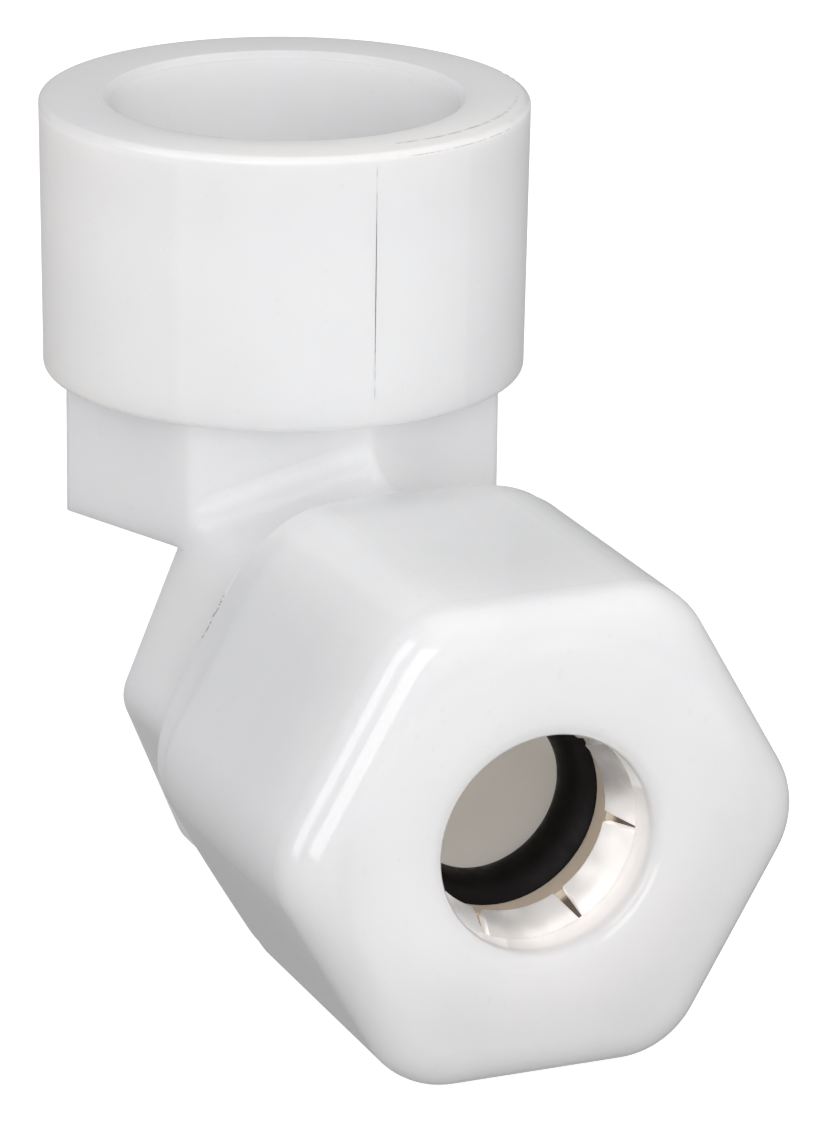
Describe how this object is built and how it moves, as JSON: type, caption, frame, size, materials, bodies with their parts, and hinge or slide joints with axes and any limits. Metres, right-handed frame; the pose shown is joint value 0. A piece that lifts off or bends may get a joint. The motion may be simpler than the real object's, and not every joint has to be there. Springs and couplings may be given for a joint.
{
  "type": "tube to pipe elbow fitting",
  "caption": "Ninety-degree moulded plastic elbow that joins a plastic tube, gripped under a hex compression nut, to a threaded pipe in a round female socket.",
  "frame": {"origin": "centre of the pipe socket's mouth, in the plane of its rim", "axes": "+Z leaves the pipe socket; +X leaves the tube end, on an axis 35.1 mm below the mouth; the two octagonal hubs and the body are symmetric about Y = 0"},
  "size_m": [0.0582, 0.0328, 0.0501],
  "materials": {
    "moulded_body": "milky translucent nylon, satin as moulded",
    "moulded_nut": "milky translucent nylon, smooth semi-gloss",
    "stainless": "bright stamped stainless sheet",
    "spacer_plastic": "beige moulded plastic",
    "nitrile": "black nitrile rubber"
  },
  "bodies": {
    "elbow": {"elbow_body": "moulded_body", "o_ring": "nitrile"},
    "ring_pack": {"spacer_ring": "spacer_plastic", "grab_ring": "stainless"},
    "nut": {"compression_nut": "moulded_nut"}
  },
  "joints": [
    {"name": "ring_travel", "type": "slide", "parent": "elbow", "child": "ring_pack", "axis": [1, 0, 0], "range_m": [0, 0.01251]},
    {"name": "nut_turn", "type": "hinge", "parent": "ring_pack", "child": "nut", "pos_m": [0.031, 0, -0.0351], "axis": [1, 0, 0], "range_deg": [0, 1800]}
  ],
  "couplings": [
    {"joint": "ring_travel", "follows": "nut_turn", "m_per_rad": 0.00039789}
  ]
}
